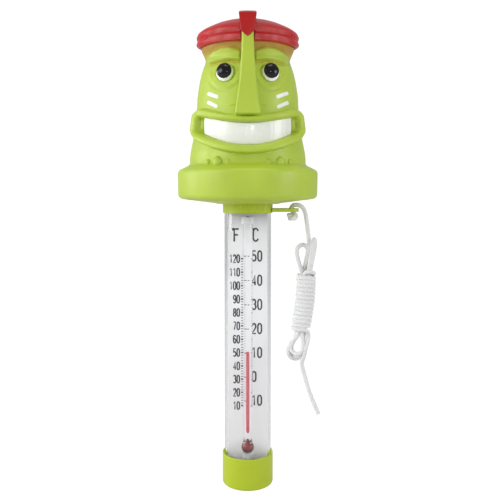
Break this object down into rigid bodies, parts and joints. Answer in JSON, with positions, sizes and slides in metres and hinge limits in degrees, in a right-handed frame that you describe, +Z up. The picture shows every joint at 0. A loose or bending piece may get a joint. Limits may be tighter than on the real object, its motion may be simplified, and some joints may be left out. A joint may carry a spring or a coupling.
{
  "type": "floating pool thermometer",
  "caption": "Floating thermometer: hollow carved-idol head on a disc float, with a clear tube below that holds a scale card and glass stem, and a tether cord on a lug.",
  "frame": {"origin": "on the tube's axis at the waterline, half way up the float disc's rim", "axes": "+Z up along the tube's axis, -Y out of the face and the printed side of the scale, +X towards the tether lug"},
  "size_m": [0.0737, 0.0716, 0.2413],
  "materials": {
    "green_plastic": "satin moulded, lime green",
    "red_plastic": "semi-gloss red",
    "white_plastic": "gloss white",
    "black_gloss": "high-gloss black",
    "clear_plastic": "clear, polished",
    "glass": "clear",
    "red_liquid": "dyed liquid",
    "card_white": "matt white, printed",
    "black_rubber": "matt",
    "steel": "plain",
    "clip_nylon": "natural",
    "cord_white": "braided white cord"
  },
  "bodies": {
    "float": {"head_shell": "green_plastic", "base_plate": "green_plastic", "base_gasket": "black_rubber", "hat_cap": "red_plastic", "crest_block": "red_plastic", "teeth_plate": "white_plastic", "eye_white_left": "white_plastic", "eye_white_right": "white_plastic", "pupil_left": "black_gloss", "pupil_right": "black_gloss"},
    "tube_assembly": {"collar": "green_plastic", "swivel_o_ring": "black_rubber", "top_seal": "black_rubber", "tube_casing": "clear_plastic", "bottom_seal": "black_rubber", "end_cap": "green_plastic", "ballast_weight": "steel", "bulb_cushion": "black_rubber", "scale_card": "card_white", "glass_stem": "glass", "bulb_liquid": "red_liquid", "stem_sleeve": "clip_nylon", "tether_knot": "cord_white", "tether_lead": "cord_white", "tether_hank": "cord_white", "tether_tail": "cord_white"},
    "liquid": {"liquid_column": "red_liquid"}
  },
  "joints": [
    {"name": "tube_turn", "type": "hinge", "parent": "float", "child": "tube_assembly", "pos_m": [0, 0, 0], "axis": [0, 0, 1], "continuous": true},
    {"name": "liquid_rise", "type": "slide", "parent": "tube_assembly", "child": "liquid", "axis": [0, 0, 1], "range_m": [-0.0275, 0.0482], "deforming": ["liquid_column"]}
  ]
}
